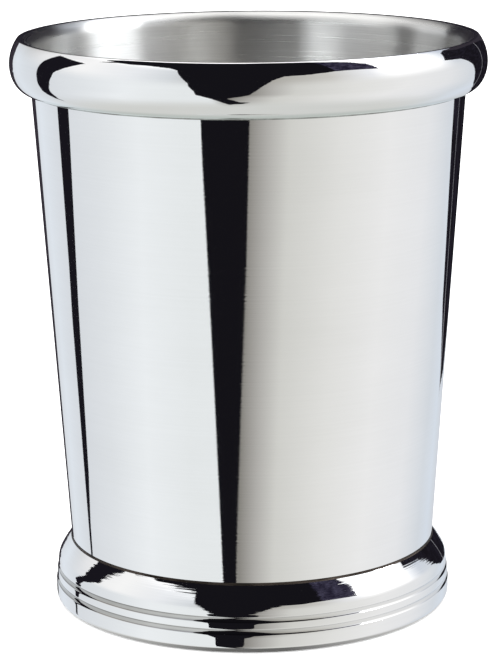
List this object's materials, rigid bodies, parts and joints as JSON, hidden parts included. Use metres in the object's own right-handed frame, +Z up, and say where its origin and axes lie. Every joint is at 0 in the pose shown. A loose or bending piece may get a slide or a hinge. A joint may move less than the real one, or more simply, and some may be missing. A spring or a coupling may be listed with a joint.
{
  "type": "julep cup",
  "caption": "Tapered polished metal drinking cup with a full rolled rim band, a satin inside and a moulded foot ring.",
  "frame": {"origin": "on the cup's axis, at the surface that the foot ring stands on", "axes": "+Z up along the cup's axis, from the foot to the mouth; +X and +Y are alike, because the cup is round"},
  "size_m": [0.0838, 0.0838, 0.1016],
  "materials": {
    "polished_wall": "mirror polished outside, satin with fine turning lines inside",
    "satin_floor": "satin with concentric turning lines",
    "polished_rim": "mirror polished",
    "polished_foot": "mirror polished with fine turning lines",
    "solder": "dull brown-grey solder",
    "inside_solder": "satin solder fillet, dressed smooth"
  },
  "bodies": {
    "root": {"cup_wall": "polished_wall", "cup_floor": "satin_floor", "rim_band": "polished_rim", "foot_ring": "polished_foot", "rim_solder": "solder", "foot_solder": "solder", "floor_solder": "inside_solder", "base_solder": "solder"}
  },
  "joints": []
}
